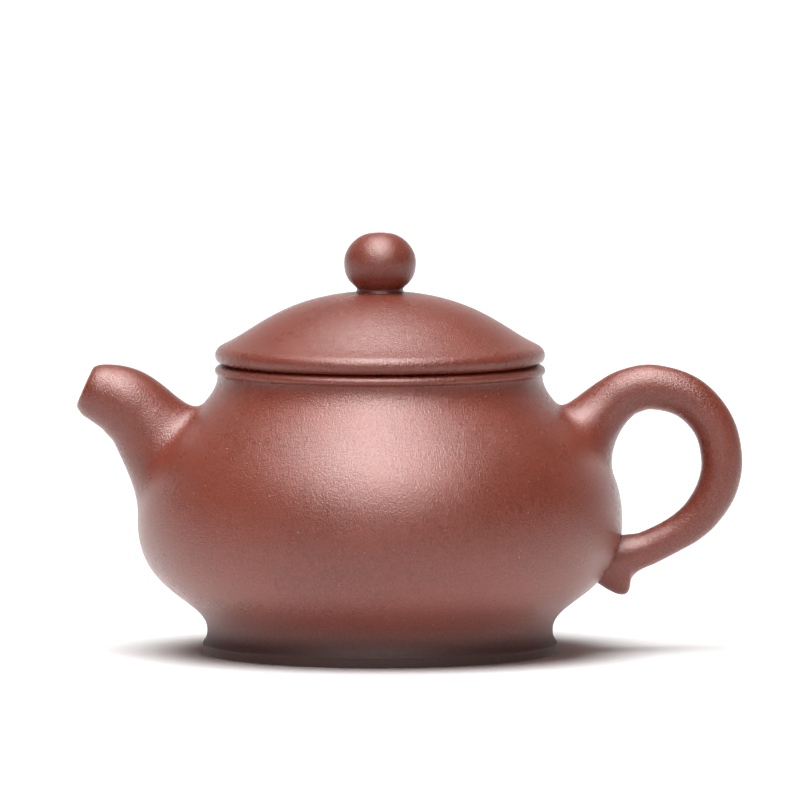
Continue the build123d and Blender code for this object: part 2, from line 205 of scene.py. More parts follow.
def lathe(name, outline, segments=SEGMENTS):
    """Spin (radius, height) points into a named piece, closed unless both ends are on the axis."""
    on_axis = outline[0].x == 0 and outline[-1].x == 0
    corners = outline if on_axis else outline + outline[:1]
    bpy.ops.object.select_all(action="DESELECT")
    bpy.ops.mesh.primitive_plane_add(size=MM)
    piece = bpy.context.object
    piece.name = piece.data.name = name
    bpy.ops.object.mode_set(mode="EDIT")
    bpy.ops.mesh.merge(type="CENTER")
    bpy.ops.transform.translate(value=(outline[0].x, 0, outline[0].y))
    for here, there in zip(corners, corners[1:]):
        step = there - here
        bpy.ops.mesh.extrude_region_move(TRANSFORM_OT_translate={"value": (step.x, 0, step.y)})
    bpy.ops.mesh.select_all(action="SELECT")
    bpy.ops.mesh.spin(steps=segments, angle=math.tau, center=(0, 0, 0), axis=(0, 0, 1))
    bpy.ops.mesh.select_all(action="SELECT")
    bpy.ops.mesh.remove_doubles(threshold=0.001 * MM)
    bpy.ops.mesh.normals_make_consistent(inside=False)
    bpy.ops.object.mode_set(mode="OBJECT")
    bpy.ops.object.shade_smooth_by_angle(angle=SMOOTH_ANGLE)
    print(f"{name}: {len(piece.data.polygons)} faces")
    return piece


# %% [markdown]
# ## The foot and the base
#
# The foot ring flares out to a small lip and stands back under it, with the base disc let into it.

# %% Foot ring and base disc
BASE_RADIUS = base_high.x
RECESS_RADIUS = FOOT_RADIUS - 4.4 * MM
LIP_HEIGHT = 2.15 * MM
flare = bezier(
    (
        (FOOT_RADIUS - 0.12 * MM, LIP_HEIGHT + 0.12 * MM),
        (FOOT_RADIUS - 0.75 * MM, LIP_HEIGHT + 0.9 * MM),
        (WAIST_RADIUS, WAIST_HEIGHT - 1.0 * MM),
        (WAIST_RADIUS, WAIST_HEIGHT),
    ),
    14,
)
foot_ring = lathe(
    "foot_ring_skin",
    rounded(
        [
            (RECESS_RADIUS, base_low.z, 0),
            (RECESS_RADIUS, 0, 0.6 * MM),
            (FOOT_RADIUS - 0.16 * MM, 0, 0.4 * MM),
            (FOOT_RADIUS - 0.14 * MM, LIP_HEIGHT - 0.4 * MM, 0.15 * MM),
            (FOOT_RADIUS, LIP_HEIGHT - 0.1 * MM, 0.1 * MM),
        ]
    )
    + flare
    + [Vector((BASE_RADIUS, WAIST_HEIGHT)), Vector((BASE_RADIUS, base_low.z))],
)
base_disc = lathe(
    "base_disc_skin",
    [
        Vector((0, base_low.z)),
        Vector((BASE_RADIUS, base_low.z)),
        Vector((BASE_RADIUS, base_high.z)),
        Vector((0, base_high.z)),
    ],
)

# %% [markdown]
# ## The belly, the shoulder and the neck
#
# On the real pot these are a beaten-out wall, a disc and a ring, luted and rubbed down until no joint shows.
# They are spun from one outline, cut at the same heights as in the model.

# %% Belly wall, shoulder disc and neck ring
FLOOR = base_high.z
belly_wall = lathe(
    "belly_wall_skin",
    outer_wall(WAIST_HEIGHT, SHOULDER_BOTTOM, 90)
    + inner_wall(SHOULDER_BOTTOM, FLOOR + 0.8 * MM, 50)
    + [Vector((BASE_RADIUS - 1.2 * MM, FLOOR)), Vector((BASE_RADIUS, FLOOR))]
    + [Vector((BASE_RADIUS, WAIST_HEIGHT))],
)
shoulder_disc = lathe(
    "shoulder_disc_skin",
    outer_wall(SHOULDER_BOTTOM, NECK_BOTTOM, 20) + inner_wall(NECK_BOTTOM, SHOULDER_BOTTOM, 12),
)
neck_ring = lathe(
    "neck_ring_skin",
    outer_wall(NECK_BOTTOM, NECK_HEIGHT, 24) + inner_wall(NECK_HEIGHT, NECK_BOTTOM, 10),
)

# %% Rim bead
bead_side = bezier(
    (
        (NECK_RADIUS, NECK_HEIGHT),
        (NECK_RADIUS, NECK_HEIGHT + 0.45 * MM),
        (RIM_RADIUS, NECK_HEIGHT + 0.35 * MM),
        (RIM_RADIUS, NECK_HEIGHT + 1.0 * MM),
    ),
    12,
)
bead_top = bezier(
    (
        (RIM_RADIUS, NECK_HEIGHT + 1.0 * MM),
        (RIM_RADIUS, NECK_HEIGHT + 1.75 * MM),
        (RIM_RADIUS - 0.6 * MM, RIM_HEIGHT - 0.32 * MM),
        (RIM_RADIUS - 2.0 * MM, RIM_HEIGHT),
    ),
    14,
)
rim_bead = lathe(
    "rim_bead_skin",
    [bead_side[0], bead_side[0] + Vector((0, SEAM_STRIP))]
    + bead_side[1:]
    + bead_top[1:]
    + bezier(
        (
            (MOUTH_RADIUS + 0.5 * MM, RIM_HEIGHT),
            (MOUTH_RADIUS + 0.15 * MM, RIM_HEIGHT),
            (MOUTH_RADIUS, RIM_HEIGHT - 0.15 * MM),
            (MOUTH_RADIUS, RIM_HEIGHT - 0.5 * MM),
        ),
        5,
    )
    + [Vector((MOUTH_RADIUS, NECK_HEIGHT))],
)

# %% [markdown]
# ## The lid
#
# The dome runs level at the top, falls in a straight slope and turns over a round nose. The disc below it
# carries the lower half of the nose, and the flange hangs from the disc into the mouth.

# %% Lid disc and lid dome
LID_RADIUS = dome_high.x
DISC_TOP = dome_low.z
LID_TOP = RIM_HEIGHT + 14.8 * MM
FLANGE_BORE = flange_high.x - 2.0 * MM
VENT_RADIUS = 1.1 * MM
SLOPE_ANGLE = math.radians(27)
SLOPE_END = Vector((LID_RADIUS - 2.65 * MM, RIM_HEIGHT + 4.4 * MM))
SLOPE_WAY = Vector((-math.cos(SLOPE_ANGLE), math.sin(SLOPE_ANGLE)))

nose_under = bezier(
    (
        (LID_RADIUS - 2.4 * MM, RIM_HEIGHT),
        (LID_RADIUS - 0.9 * MM, RIM_HEIGHT + 0.12 * MM),
        (LID_RADIUS, RIM_HEIGHT + 0.5 * MM),
        (LID_RADIUS, DISC_TOP),
    ),
    16,
)
lid_disc = lathe(
    "lid_disc_skin",
    nose_under[:-1]
    + [Vector((LID_RADIUS, DISC_TOP - SEAM_STRIP)), Vector((LID_RADIUS, DISC_TOP))]
    + [Vector((FLANGE_BORE, DISC_TOP)), Vector((FLANGE_BORE, RIM_HEIGHT))],
)

shoulder_of_nose = SLOPE_END - SLOPE_WAY * 1.5 * MM
nose_over = bezier(
    (
        (LID_RADIUS, DISC_TOP),
        (LID_RADIUS, DISC_TOP + 0.85 * MM),
        shoulder_of_nose - SLOPE_WAY * 0.85 * MM,
        shoulder_of_nose,
    ),
    16,
)
dome_top = bezier((SLOPE_END, SLOPE_END + SLOPE_WAY * 7.06 * MM, (18.15 * MM, LID_TOP), (0, LID_TOP)), 44)
dome_top = [p for p in dome_top if p.x > VENT_RADIUS + 0.4 * MM]
under_dome = bezier(
    (
        (0, LID_TOP - WALL),
        (FLANGE_BORE * 0.54, LID_TOP - WALL),
        (FLANGE_BORE * 0.79, DISC_TOP + 3.0 * MM),
        (FLANGE_BORE, DISC_TOP),
    ),
    30,
)
under_dome = [p for p in under_dome if p.x > VENT_RADIUS + 0.4 * MM]
lid_dome = lathe(
    "lid_dome_skin",
    [nose_over[0], nose_over[0] + Vector((0, SEAM_STRIP))]
    + nose_over[1:]
    + dome_top
    + [Vector((VENT_RADIUS, LID_TOP)), Vector((VENT_RADIUS, LID_TOP - WALL))]
    + under_dome,
)

# %% Lid flange
FLANGE_RADIUS = flange_high.x
lid_flange = lathe(
    "lid_flange_skin",
    rounded(
        [
            (FLANGE_BORE, RIM_HEIGHT, 0),
            (FLANGE_BORE, flange_low.z, 0.7 * MM),
            (FLANGE_RADIUS, flange_low.z, 0.7 * MM),
            (FLANGE_RADIUS, RIM_HEIGHT, 0),
        ]
    ),
)

# %% [markdown]
# ## The knob
#
# An oblate ball on a short neck. The vent runs down through it, with a softly broken edge at the top.

# %% Knob
KNOB_RADIUS = knob_high.x
KNOB_TOP = knob_high.z
KNOB_MIDDLE = LID_TOP + 5.85 * MM
NECK_OF_KNOB = 4.68 * MM
KNOB_FOOT_RADIUS = 5.6 * MM
KNOB_BOTTOM = LID_TOP - 0.8 * MM
knob_foot = bezier(
    (
        (KNOB_FOOT_RADIUS, LID_TOP - 0.75 * MM),
        (5.15 * MM, LID_TOP - 0.35 * MM),
        (NECK_OF_KNOB, LID_TOP - 0.05 * MM),
        (NECK_OF_KNOB, LID_TOP + 0.55 * MM),
    ),
    8,
)
knob_low = bezier(
    (
        (NECK_OF_KNOB, LID_TOP + 0.55 * MM),
        (NECK_OF_KNOB + 0.35 * MM, LID_TOP + 1.35 * MM),
        (KNOB_RADIUS, KNOB_MIDDLE - 3.9 * MM),
        (KNOB_RADIUS, KNOB_MIDDLE),
    ),
    24,
)
knob_top = bezier(
    (
        (KNOB_RADIUS, KNOB_MIDDLE),
        (KNOB_RADIUS, KNOB_MIDDLE + 3.25 * MM),
        (4.3 * MM, KNOB_TOP),
        (VENT_RADIUS + 0.35 * MM, KNOB_TOP),
    ),
    28,
)
knob = lathe(
    "knob_skin",
    knob_foot
    + knob_low[1:]
    + knob_top[1:]
    + [Vector((VENT_RADIUS + 0.08 * MM, KNOB_TOP - 0.1 * MM)), Vector((VENT_RADIUS, KNOB_TOP - 0.4 * MM))]
    + [Vector((VENT_RADIUS, KNOB_BOTTOM)), Vector((KNOB_FOOT_RADIUS, KNOB_BOTTOM))],
    segments=112,
)

# %% [markdown]
# ## Spout and handle: a straight tube, then its place
#
# Both are rolls of clay that bend and swell, and melt into the belly at the root. They are modelled straight:
# a circle is extruded upwards, one ring at a time. Each vertex is then carried to its place by its ring
# number and its angle round the tube. At a root the rings fan out over curves that leave the roll along its
# own direction and land flat on the belly, which is how a luted and rubbed-down joint looks.

# %% A straight tube, carried to its place
def carried_tube(name, rings, around):
    """A tube whose rings are functions of the angle round it, each giving that ring's point there."""
    bpy.ops.object.select_all(action="DESELECT")
    bpy.ops.mesh.primitive_circle_add(vertices=around, radius=1, location=(0, 0, 0))
    piece = bpy.context.object
    piece.name = piece.data.name = name
    bpy.ops.object.mode_set(mode="EDIT")
    bpy.ops.mesh.select_all(action="SELECT")
    for _ in rings[1:]:
        bpy.ops.mesh.extrude_edges_move(TRANSFORM_OT_translate={"value": (0, 0, 1)})
    bpy.ops.object.mode_set(mode="OBJECT")
    for vertex in piece.data.vertices:
        ring = rings[round(vertex.co.z)]
        vertex.co = ring(math.atan2(vertex.co.y, vertex.co.x))
    return piece


def close_and_smooth(piece, bridge):
    """Bridge the tube's two open ends into each other or fill each of them, then turn the faces outwards."""
    bpy.ops.object.mode_set(mode="EDIT")
    bpy.ops.mesh.select_mode(type="EDGE")
    bpy.ops.mesh.select_all(action="DESELECT")
    bpy.ops.mesh.select_non_manifold()
    if bridge:
        bpy.ops.mesh.bridge_edge_loops()
    else:
        bpy.ops.mesh.edge_face_add()
    bpy.ops.mesh.select_mode(type="VERT")
    bpy.ops.mesh.select_all(action="SELECT")
    bpy.ops.mesh.normals_make_consistent(inside=False)
    bpy.ops.object.mode_set(mode="OBJECT")
    bpy.ops.object.shade_smooth_by_angle(angle=SMOOTH_ANGLE)
    print(f"{piece.name}: {len(piece.data.polygons)} faces")


# %% Stations along a roll
def smooth_stations(stations, steps):
    """A smooth run of (x, height, radius) through the given stations, with so many steps between each two."""
    rows = [Vector(s) * MM for s in stations]
    rows = [rows[0] * 2 - rows[1]] + rows + [rows[-1] * 2 - rows[-2]]
    out = []
    for before, a, b, after in zip(rows, rows[1:], rows[2:], rows[3:]):
        span = (b - a).length
        leave = (b - before) / ((a - before).length + span) * span
        arrive = (after - a) / ((after - b).length + span) * span
        out += bezier((a, a + leave / 3, b - arrive / 3, b), steps)[:-1]
    return out + [rows[-2]]


def roll_skin(run, i, angle):
    """The point on a roll's skin at step i. Angle 0 is its outer side and a quarter turn is +Y."""
    here = run[i]
    ahead = run[min(i + 1, len(run) - 1)] - run[max(i - 1, 0)]
    ahead = Vector((ahead.x, ahead.y)).normalized()
    flat = Vector((here.x, here.y)) + Vector((-ahead.y, ahead.x)) * here.z * math.cos(angle)
    return Vector((flat.x, here.z * math.sin(angle), flat.y))


# %% Points on the body
def on_body(side, arc, height, depth=0.0):
    """A point on the pot's outside: side is -1 or 1 for -X or +X, and arc runs from there towards +Y."""
    radius, up = outline_at(height)
    turn = arc / radius
    out = Vector((side * math.cos(turn), math.sin(turn), 0))
    normal = out * up.y + Vector((0, 0, -up.x))
    return out * radius + Vector((0, 0, height)) - normal * depth


class Footprint:
    """The oval on the belly that a root spreads to."""

    def __init__(self, side, middle, half_height, half_width):
        self.side = side
        self.middle = middle
        self.half_height = half_height
        self.half_width = half_width

    def point(self, angle, size=1.0, depth=0.0, more=0.0):
        """The oval's point at an angle, on an oval that is size times as large and wider by more."""
        height = self.middle + (self.half_height * size + more) * math.cos(angle)
        arc = (self.half_width * size + more) * math.sin(angle)
        return on_body(self.side, arc, height, depth)

    def way_out(self, angle):
        """The direction along the belly, away from the oval."""
        step = 0.2 * MM
        return (self.point(angle, more=step) - self.point(angle, more=-step)).normalized()


def root_rings(run, at, onwards, footprint, reaches, steps):
    """Rings that fan out from a roll's step at to its footprint, and end just under the belly's face.

    The reaches are pairs for the top, the sides and the underside: how far the curve follows the roll, and
    how far it follows the belly.
    """
    top, side, low = [Vector(pair) * MM for pair in reaches]

    def curve(angle, t):
        start = roll_skin(run, at, angle)
        way = (roll_skin(run, at + onwards, angle) - roll_skin(run, at - onwards, angle)).normalized()
        share = math.cos(angle) ** 2
        leave, arrive = (top if math.cos(angle) > 0 else low) * share + side * (1 - share)
        land = footprint.point(angle)
        return on_curve(start, start + way * leave, land - footprint.way_out(angle) * arrive, land, t)

    rings = [lambda angle, t=k / steps: curve(angle, t) for k in range(1, steps + 1)]
    return rings + [lambda angle: footprint.point(angle, depth=0.03 * MM, more=1.0 * MM)]


# %% [markdown]
# ## The spout
#
# Short and stout: a quick swell behind a cut tip, then a slow flare into a wide root. The rings run from
# the bore's inner end out to the lip, back over the outside and down the root, and the two ends are bridged
# inside the wall.

# %% Spout
spout_run = smooth_stations(
    [
        (-60.1, 54.45, 4.25),
        (-59.35, 54.12, 5.0),
        (-58.0, 53.55, 5.75),
        (-52.5, 51.35, 7.2),
        (-48.4, 48.1, 7.8),
        (-45.2, 43.7, 8.9),
    ],
    10,
)
SPOUT_ROOT = 40
SPOUT_REACHES = ((5.0, 2.5), (5.0, 4.0), (5.0, 5.0))
ROOT_STEPS = 30
spout_foot = Footprint(side=-1, middle=39.7 * MM, half_height=11.7 * MM, half_width=13.0 * MM)
spout_axis = (Vector((spout_run[1].x - spout_run[0].x, 0, spout_run[1].y - spout_run[0].y))).normalized()
tip = Vector((spout_run[0].x, 0, spout_run[0].y))
tip_up = Vector((-spout_axis.z, 0, spout_axis.x))


def tip_ring(radius, inwards):
    """A ring round the spout's axis at the tip, so far inwards from the cut."""
    middle = tip + spout_axis * inwards

    def ring(angle):
        across = tip_up * math.cos(angle) + Vector((0, math.sin(angle), 0))
        return middle + across * radius

    return ring


BORE_INNER_STEP = 46
BORE_OUTER_STEP = 6
BORE_SHARE_AT_TIP = 0.3
BORE_SHARE_GAINED = 0.25


def bore_ring(step):
    """The bore's ring at a step of the spout: a share of the spout's own width that grows inwards."""
    share = BORE_SHARE_AT_TIP + BORE_SHARE_GAINED * step / BORE_INNER_STEP
    bore_run = [Vector((p.x, p.y, p.z * share + 1.0 * MM)) for p in spout_run]
    return lambda angle: roll_skin(bore_run, step, angle)


BORE_RADIUS = 2.6 * MM
hole_ring = [lambda angle: spout_foot.point(angle, size=0.5, depth=1.3 * MM)]
bore_rings = [bore_ring(step) for step in range(BORE_INNER_STEP, BORE_OUTER_STEP, -2)]
lip_rings = [
    tip_ring(BORE_RADIUS, 3.0 * MM),
    tip_ring(BORE_RADIUS, 1.0 * MM),
    tip_ring(BORE_RADIUS + 0.04 * MM, 0.45 * MM),
    tip_ring(BORE_RADIUS + 0.2 * MM, 0.12 * MM),
    tip_ring(BORE_RADIUS + 0.5 * MM, 0.0),
    tip_ring(3.3 * MM, -0.03 * MM),
    tip_ring(3.7 * MM, -0.02 * MM),
    tip_ring(4.0 * MM, 0.08 * MM),
]
outside_rings = [lambda angle, i=i: roll_skin(spout_run, i, angle) for i in range(1, SPOUT_ROOT + 1)]
spout = carried_tube(
    "spout_skin",
    hole_ring
    + bore_rings
    + lip_rings
    + outside_rings
    + root_rings(spout_run, SPOUT_ROOT, 1, spout_foot, SPOUT_REACHES, ROOT_STEPS),
    around=112,
)
close_and_smooth(spout, bridge=True)

# %% [markdown]
# ## The handle
#
# A round roll bent to an ear. Its upper end is rubbed down into the shoulder. Its lower end is only pressed
# on, with a crisp seam, and the clay squeezed out below it is left as a small heel with a pointed lip.

# %% Handle
HANDLE_STEPS = 9
handle_run = smooth_stations(
    [
        (45.1, 49.55, 5.2),
        (46.55, 50.7, 5.1),
        (50.2, 53.15, 4.75),
        (55.5, 54.25, 4.57),
        (62.8, 52.1, 4.4),
        (67.9, 46.5, 4.25),
        (69.6, 39.3, 4.2),
        (68.6, 33.6, 4.1),
        (65.75, 28.8, 3.85),
        (62.75, 25.9, 3.65),
        (59.3, 23.75, 3.45),
        (54.6, 21.4, 3.55),
        (52.4, 20.6, 3.85),
        (50.1, 19.9, 4.2),
        (47.5, 19.4, 4.6),
        (44.4, 19.0, 4.9),
    ],
    HANDLE_STEPS,
)
HANDLE_ROOT = 13
HANDLE_REACHES = ((7.0, 3.0), (2.5, 6.0), (4.0, 4.0))
HEEL_START = 11 * HANDLE_STEPS
handle_foot = Footprint(side=1, middle=43.7 * MM, half_height=7.7 * MM, half_width=12.0 * MM)
handle_rings = [lambda angle: handle_foot.point(angle, size=0.45, depth=1.2 * MM)]
handle_rings += reversed(
    root_rings(handle_run, HANDLE_ROOT, -1, handle_foot, HANDLE_REACHES, ROOT_STEPS)
)
handle_rings += [
    lambda angle, i=i: roll_skin(handle_run, i, angle) for i in range(HANDLE_ROOT, HEEL_START + 1)
]

# %% The heel: rings that hang down to a lip
HEEL_EDGE = bezier(((55.77, 18.05), (54.0, 17.4), (51.3, 16.4), (51.05, 14.4)), 14) + bezier(
    ((51.05, 14.4), (50.95, 11.4), (49.4, 10.6), (44.2, 14.3)), 22
)[1:]
HEEL_SHARPNESS = 0.55
DEEPEST = 1.0 * MM


def heel_ring(i):
    """One ring of the heel: round above, drawn down to the heel's edge below, and stopped inside the wall."""
    here = handle_run[i]
    edge = Vector(HEEL_EDGE[i - HEEL_START]) * MM
    down = edge - Vector((here.x, here.y))
    drop = down.length
    down.normalize()

    def ring(angle):
        reach = here.z + (drop - here.z) * math.exp(-((angle / HEEL_SHARPNESS) ** 2))
        flat = Vector((here.x, here.y)) + down * reach * math.cos(angle)
        point = Vector((flat.x, reach * math.sin(angle), flat.y))
        shortest = outline_at(point.z)[0] - DEEPEST
        from_axis = math.hypot(point.x, point.y)
        if from_axis < shortest:
            point.x *= shortest / from_axis
            point.y *= shortest / from_axis
        return point

    return ring


handle_rings += [heel_ring(i) for i in range(HEEL_START + 1, len(handle_run))]
handle = carried_tube("handle_skin", handle_rings, around=96)
close_and_smooth(handle, bridge=False)

# %% [markdown]
# ## The strainer
#
# A half ball of clay with small pierced holes stands between the tea and the spout. Its node already has
# the right shape, so it stays and only gets the clay. The belly wall is cut through behind it, so that the
# tea can reach the spout.

# %% A hole in the belly behind the spout
def punch(piece, start, end, radius):
    """Cut a round hole from start to end through a piece."""
    middle = (start + end) / 2
    way = end - start
    bpy.ops.object.select_all(action="DESELECT")
    bpy.ops.mesh.primitive_cylinder_add(vertices=64, radius=radius, depth=way.length, location=middle)
    cutter = bpy.context.object
    cutter.rotation_euler = way.to_track_quat("Z", "Y").to_euler()
    bpy.context.view_layer.objects.active = piece
    hole = piece.modifiers.new("hole", "BOOLEAN")
    hole.operation = "DIFFERENCE"
    hole.object = cutter
    bpy.ops.object.modifier_apply(modifier=hole.name)
    bpy.data.objects.remove(cutter, do_unlink=True)


STRAINER_TILT = math.radians(12)
HOLE_RADIUS = strainer_high.y - 2.4 * MM
CUT_REACH = 6 * MM
ball_middle = Vector((strainer_low.x, 0, strainer_low.z + strainer_high.y))
hole_way = Vector((math.cos(STRAINER_TILT), 0, -math.sin(STRAINER_TILT)))
punch(belly_wall, ball_middle - hole_way * CUT_REACH, ball_middle + hole_way * CUT_REACH, HOLE_RADIUS)
bpy.ops.object.select_all(action="DESELECT")
bpy.context.view_layer.objects.active = belly_wall
belly_wall.select_set(True)
bpy.ops.object.shade_smooth_by_angle(angle=SMOOTH_ANGLE)
print("belly wall with its hole:", len(belly_wall.data.polygons), "faces")

# %% [markdown]
# ## The clay
#
# Unglazed stoneware that was burnished before firing: a fine, even grain with a satin gloss. Close up it
# holds tiny pale mica specks and a few dark iron ones, its colour drifts slightly in soft clouds, and edges
# that are handled are a little paler and smoother. Each effect is a node group, so that every piece of clay
# can have it with its own values.

# %% A node group with sockets
def effect_group(name, inputs, outputs):
    """A shader node group with float inputs (name, value) and outputs (name, kind), and its end nodes."""
    group = bpy.data.node_groups.new(name, "ShaderNodeTree")
    for label, value in inputs:
        group.interface.new_socket(label, in_out="INPUT", socket_type="NodeSocketFloat").default_value = value
    for label, kind in outputs:
        group.interface.new_socket(label, in_out="OUTPUT", socket_type=kind)
    return group, group.nodes.new("NodeGroupInput"), group.nodes.new("NodeGroupOutput")


def add_node(tree, kind, **settings):
    """A node with some of its settings and inputs set by name."""
    node = tree.nodes.new(kind)
    for key, value in settings.items():
        if hasattr(node, key):
            setattr(node, key, value)
        else:
            node.inputs[key.title()].default_value = value
    return node


def add_math(tree, operation, first, second):
    """A Math node fed by sockets or numbers."""
    node = tree.nodes.new("ShaderNodeMath")
    node.operation = operation
    for socket, value in zip(node.inputs, (first, second)):
        if isinstance(value, (int, float)):
            socket.default_value = value
        else:
            tree.links.new(value, socket)
    return node.outputs[0]


def ramp(tree, value, low, high):
    """A value remapped so that low gives 0 and high gives 1."""
    node = tree.nodes.new("ShaderNodeMapRange")
    node.interpolation_type = "SMOOTHSTEP"
    tree.links.new(value, node.inputs["Value"])
    node.inputs["From Min"].default_value = low
    node.inputs["From Max"].default_value = high
    return node.outputs["Result"]


# %% Grain: fine sand in the clay
PER_METRE = 1000.0
COARSE_SCALE = 0.3
COARSE_SHARE = 0.4
SAND_SCALE = 0.7


def make_grain():
    """A height for bump, from fine and middling noise, and a tint from 0 to 1 for the mottle of the sand."""
    sockets = [("Height", "NodeSocketFloat"), ("Tint", "NodeSocketFloat")]
    group, into, out = effect_group("clay grain", [("Size", 0.3)], sockets)
    place = group.nodes.new("ShaderNodeTexCoord").outputs["Object"]
    scale = add_math(group, "DIVIDE", PER_METRE, into.outputs["Size"])
    fine = add_node(group, "ShaderNodeTexNoise", detail=2.0, roughness=0.6)
    coarse = add_node(group, "ShaderNodeTexNoise", detail=1.0, roughness=0.5)
    group.links.new(place, fine.inputs["Vector"])
    group.links.new(place, coarse.inputs["Vector"])
    group.links.new(scale, fine.inputs["Scale"])
    group.links.new(add_math(group, "MULTIPLY", scale, COARSE_SCALE), coarse.inputs["Scale"])
    coarse_height = add_math(group, "MULTIPLY", coarse.outputs["Fac"], COARSE_SHARE)
    height = add_math(group, "ADD", fine.outputs["Fac"], coarse_height)
    group.links.new(height, out.inputs["Height"])
    sand = add_node(group, "ShaderNodeTexNoise", detail=2.0, roughness=0.7)
    group.links.new(place, sand.inputs["Vector"])
    group.links.new(add_math(group, "MULTIPLY", scale, SAND_SCALE), sand.inputs["Scale"])
    group.links.new(ramp(group, sand.outputs["Fac"], 0.3, 0.7), out.inputs["Tint"])
    return group


# %% Specks: the few grains of another colour
SMALLEST_SPECK = 0.4


def make_specks():
    """A mask of tiny round specks, scattered and of mixed sizes."""
    group, into, out = effect_group(
        "clay specks", [("Spacing", 2.0), ("Share", 0.2), ("Size", 0.1)], [("Mask", "NodeSocketFloat")]
    )
    place = group.nodes.new("ShaderNodeTexCoord").outputs["Object"]
    cells = add_node(group, "ShaderNodeTexVoronoi", feature="F1")
    group.links.new(place, cells.inputs["Vector"])
    group.links.new(add_math(group, "DIVIDE", PER_METRE, into.outputs["Spacing"]), cells.inputs["Scale"])
    chance = group.nodes.new("ShaderNodeSeparateColor")
    group.links.new(cells.outputs["Color"], chance.inputs["Color"])
    chosen = add_math(group, "LESS_THAN", chance.outputs["Red"], into.outputs["Share"])
    reach = add_math(group, "DIVIDE", into.outputs["Size"], into.outputs["Spacing"])
    mixed = add_math(group, "ADD", chance.outputs["Green"], SMALLEST_SPECK)
    reach = add_math(group, "MULTIPLY", reach, mixed)
    near = add_math(group, "DIVIDE", cells.outputs["Distance"], reach)
    dot = add_math(group, "SUBTRACT", 1.0, ramp(group, near, 0.6, 1.2))
    group.links.new(add_math(group, "MULTIPLY", dot, chosen), out.inputs["Mask"])
    return group


# %% Clouds: slow drifts of colour and gloss
MOTTLE_SCALE = 14.0


def make_clouds():
    """A value from 0 to 1 that drifts over some centimetres, with a finer mottle in it."""
    group, into, out = effect_group(
        "fired clouds", [("Size", 25.0), ("Mottle", 0.4)], [("Value", "NodeSocketFloat")]
    )
    place = group.nodes.new("ShaderNodeTexCoord").outputs["Object"]
    scale = add_math(group, "DIVIDE", PER_METRE, into.outputs["Size"])
    slow = add_node(group, "ShaderNodeTexNoise", detail=2.0, roughness=0.5)
    quick = add_node(group, "ShaderNodeTexNoise", detail=4.0, roughness=0.65)
    group.links.new(place, slow.inputs["Vector"])
    group.links.new(place, quick.inputs["Vector"])
    group.links.new(scale, slow.inputs["Scale"])
    group.links.new(add_math(group, "MULTIPLY", scale, MOTTLE_SCALE), quick.inputs["Scale"])
    mottle = add_math(group, "SUBTRACT", quick.outputs["Fac"], 0.5)
    mottle = add_math(group, "MULTIPLY", mottle, into.outputs["Mottle"])
    drift = add_math(group, "ADD", slow.outputs["Fac"], mottle)
    group.links.new(ramp(group, drift, 0.25, 0.75), out.inputs["Value"])
    return group


# %% Handling: edges that fingers and lid have polished
def make_edge_wear():
    """A mask that is 1 on sharp outer edges, broken up so that it is not a drawn line."""
    group, into, out = effect_group(
        "handled edges", [("Start", 0.53), ("Span", 0.07)], [("Mask", "NodeSocketFloat")]
    )
    place = group.nodes.new("ShaderNodeTexCoord").outputs["Object"]
    point = group.nodes.new("ShaderNodeNewGeometry").outputs["Pointiness"]
    patches = add_node(group, "ShaderNodeTexNoise", scale=260.0, detail=3.0)
    group.links.new(place, patches.inputs["Vector"])
    share = add_math(group, "SUBTRACT", point, into.outputs["Start"])
    share = ramp(group, add_math(group, "DIVIDE", share, into.outputs["Span"]), 0.0, 1.0)
    share = add_math(group, "MULTIPLY", share, ramp(group, patches.outputs["Fac"], 0.3, 0.6))
    group.links.new(share, out.inputs["Mask"])
    return group


# %% Burnishing: the faint level lines of the potter's tool
LINES_WANDER = 6.0


def make_burnish():
    """A height of level lines, one above the other, that wander slightly."""
    group, into, out = effect_group("burnishing lines", [("Pitch", 0.7)], [("Height", "NodeSocketFloat")])
    place = group.nodes.new("ShaderNodeTexCoord").outputs["Object"]
    parts = group.nodes.new("ShaderNodeSeparateXYZ")
    group.links.new(place, parts.inputs["Vector"])
    wander = add_node(group, "ShaderNodeTexNoise", scale=25.0, detail=1.0)
    group.links.new(place, wander.inputs["Vector"])
    scale = add_math(group, "DIVIDE", PER_METRE, into.outputs["Pitch"])
    level = add_math(group, "MULTIPLY", parts.outputs["Z"], scale)
    level = add_math(group, "ADD", level, add_math(group, "MULTIPLY", wander.outputs["Fac"], LINES_WANDER))
    lines = add_node(group, "ShaderNodeTexNoise", noise_dimensions="1D", scale=1.0, detail=1.0)
    group.links.new(level, lines.inputs["W"])
    group.links.new(lines.outputs["Fac"], out.inputs["Height"])
    return group


GROUPS = {
    "grain": make_grain(),
    "specks": make_specks(),
    "clouds": make_clouds(),
    "edges": make_edge_wear(),
    "burnish": make_burnish(),
}
print("clay effects:", ", ".join(group.name for group in GROUPS.values()))
